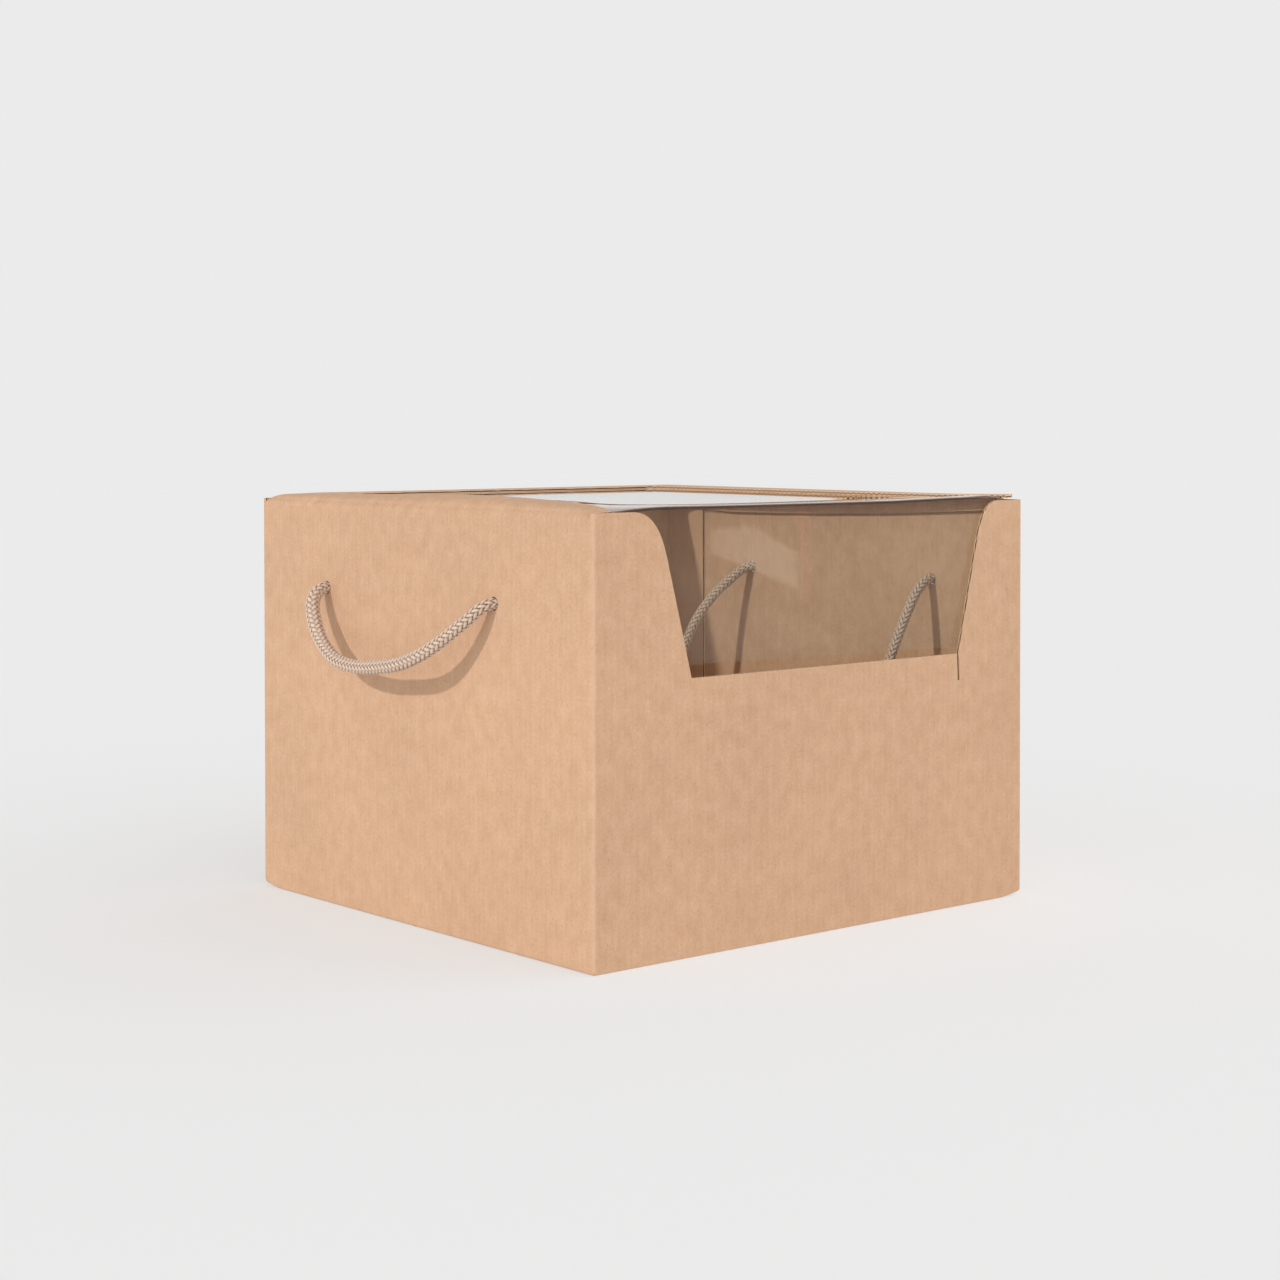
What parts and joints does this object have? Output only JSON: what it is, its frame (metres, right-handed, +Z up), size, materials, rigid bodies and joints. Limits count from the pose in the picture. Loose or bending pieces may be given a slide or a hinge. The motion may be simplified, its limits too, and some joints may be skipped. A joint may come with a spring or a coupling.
{
  "type": "window cake box",
  "caption": "Square kraft cake box with a fold-over lid, a clear film window that runs from the lid down behind the cut-out front, and braided cord handles on both sides.",
  "frame": {"origin": "under the middle of the base, on the surface the box stands on", "axes": "+Z up, -Y out of the cut-out front wall, the lid's fold is along the top of the -X wall"},
  "size_m": [0.291, 0.25, 0.1838],
  "materials": {
    "kraft_board": "matt",
    "clear_film": "gloss",
    "braided_cord": "matt"
  },
  "bodies": {
    "box": {"carton": "kraft_board", "rope_left": "braided_cord", "rope_right": "braided_cord", "knot_left_front": "braided_cord", "knot_left_back": "braided_cord", "knot_right_front": "braided_cord", "knot_right_back": "braided_cord"},
    "lid": {"lid_frame": "kraft_board", "window_film": "clear_film"}
  },
  "joints": [
    {"name": "lid_fold", "type": "hinge", "parent": "box", "child": "lid", "pos_m": [-0.12425, 0, 0.18305], "axis": [0, -1, 0], "range_deg": [0, 150]}
  ]
}
